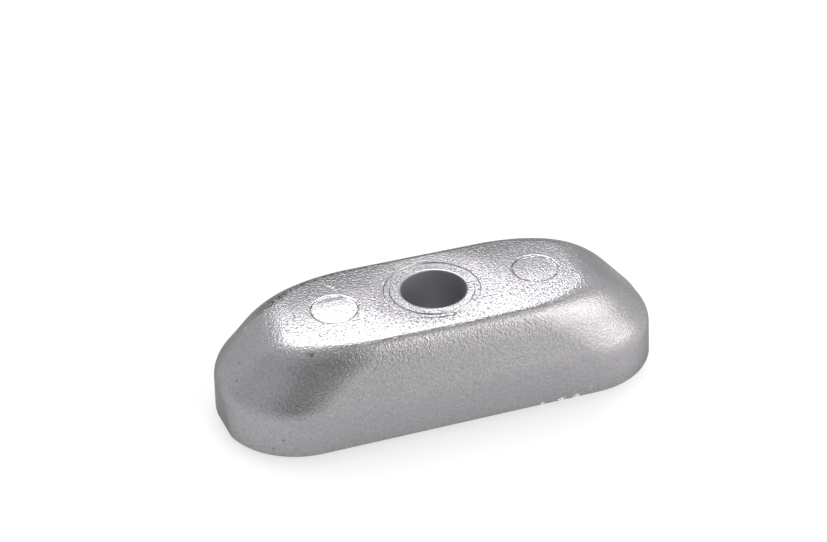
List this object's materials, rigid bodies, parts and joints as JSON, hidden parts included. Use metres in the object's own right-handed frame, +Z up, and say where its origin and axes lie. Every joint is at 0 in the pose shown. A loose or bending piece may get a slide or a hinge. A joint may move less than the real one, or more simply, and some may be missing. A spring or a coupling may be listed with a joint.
{
  "type": "sacrificial anode",
  "caption": "Small bar-shaped cast sacrificial anode with rounded ends, a drafted foot band, a sloping flank, a level crown and a through hole for its fixing bolt.",
  "frame": {"origin": "middle of the underside, where the bore's axis meets the face that the anode is bolted down on", "axes": "+X along the length, away from the trimmed gate flat; +Y towards the far long side; +Z up along the bore, from the seat to the crown"},
  "size_m": [0.0582, 0.0232, 0.0131],
  "materials": {
    "cast_alloy": "as cast, blasted, satin with fine bright grain"
  },
  "bodies": {
    "root": {"anode_casting": "cast_alloy"}
  },
  "joints": []
}
